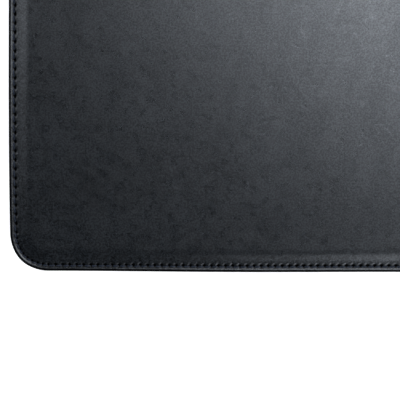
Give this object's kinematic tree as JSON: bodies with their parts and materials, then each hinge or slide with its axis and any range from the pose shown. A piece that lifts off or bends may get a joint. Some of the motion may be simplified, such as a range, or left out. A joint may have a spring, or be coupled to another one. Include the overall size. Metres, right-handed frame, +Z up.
{
  "type": "desk mat",
  "caption": "Flat padded leather desk mat with rounded corners, a stitched edge and an anti-slip backing.",
  "frame": {"origin": "on the desk surface, under the middle of the mat", "axes": "+X along the long edge to the user's right, +Y away from the user, +Z up out of the face"},
  "size_m": [0.8, 0.4, 0.0043],
  "materials": {
    "face_leather": "black nappa, fine grain, satin",
    "thread": "black bonded polyester, three-ply",
    "edge_paint": "black edge paint, dull",
    "adhesive": "cured film adhesive, straw coloured",
    "foam": "grey closed-cell foam, fine pores",
    "board": "bonded fibreboard, matt",
    "suede": "dark grey microfibre suede, short nap"
  },
  "bodies": {
    "root": {"face_leather": "face_leather", "needle_thread": "thread", "edge_coat": "edge_paint", "foam_film": "adhesive", "foam_pad": "foam", "board_film": "adhesive", "stiffener_board": "board", "backing_film": "adhesive", "backing": "suede", "bobbin_thread": "thread"}
  },
  "joints": []
}
